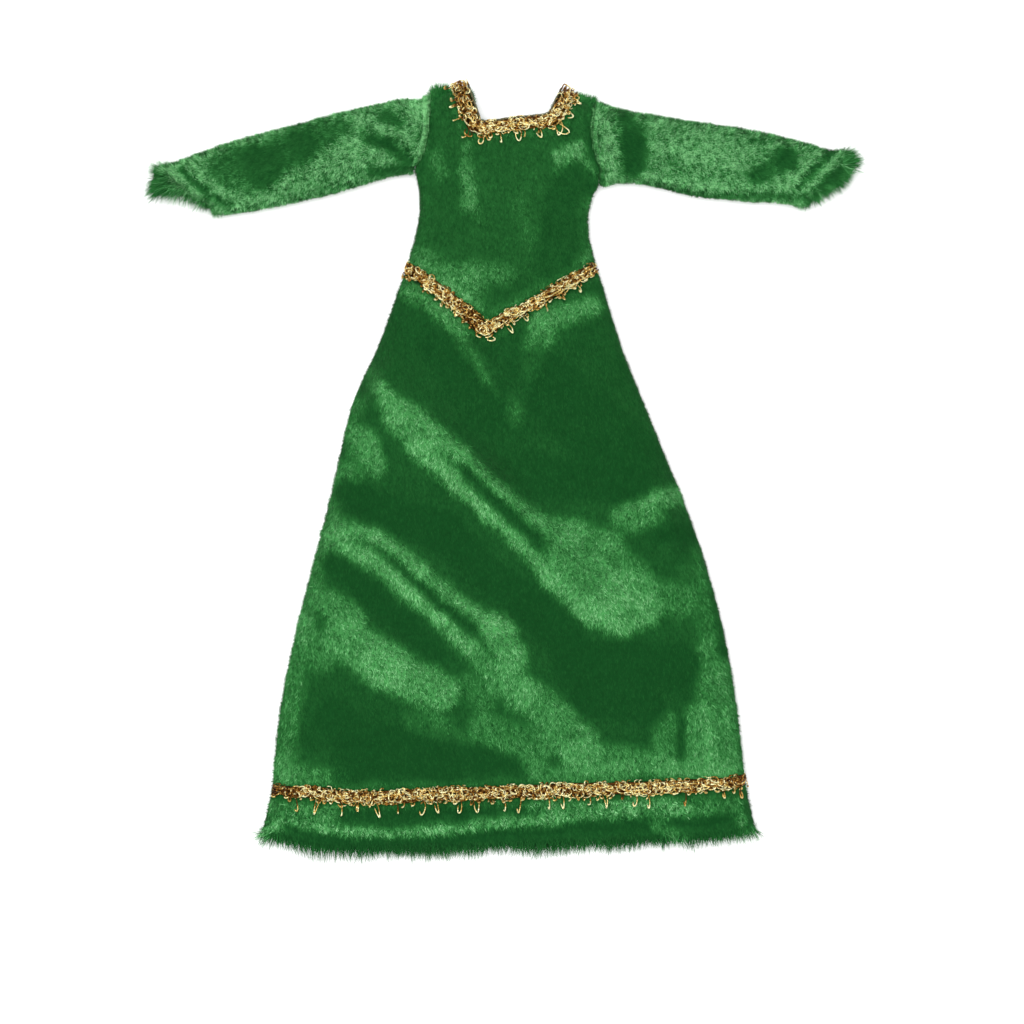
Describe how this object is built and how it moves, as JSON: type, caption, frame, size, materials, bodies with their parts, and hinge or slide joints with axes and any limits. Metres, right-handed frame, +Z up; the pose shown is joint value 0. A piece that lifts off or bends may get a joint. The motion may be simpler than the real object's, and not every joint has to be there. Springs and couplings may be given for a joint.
{
  "type": "doll's princess dress",
  "caption": "Doll's long-sleeved floor-length velvet gown with a square neck, a pointed waist and looped metallic braid, laid flat with its front up.",
  "frame": {"origin": "middle of the laid-out gown's outline, on the surface it lies on", "axes": "+Y from the hem to the neck, +X to the right as seen from above, +Z up out of the gown's front"},
  "size_m": [0.1095, 0.12, 0.0063],
  "materials": {
    "green_velvet": "pile velvet with a soft sheen, brushed in patches",
    "gold_braid": "twisted metallic thread in loops, shiny"
  },
  "bodies": {
    "root": {"bodice_front": "green_velvet", "bodice_back_left": "green_velvet", "bodice_back_right": "green_velvet", "sleeve_left": "green_velvet", "sleeve_right": "green_velvet", "skirt_front": "green_velvet", "skirt_back_left": "green_velvet", "skirt_back_right": "green_velvet", "braid_neck": "gold_braid", "braid_waist": "gold_braid", "braid_hem": "gold_braid"}
  },
  "joints": []
}
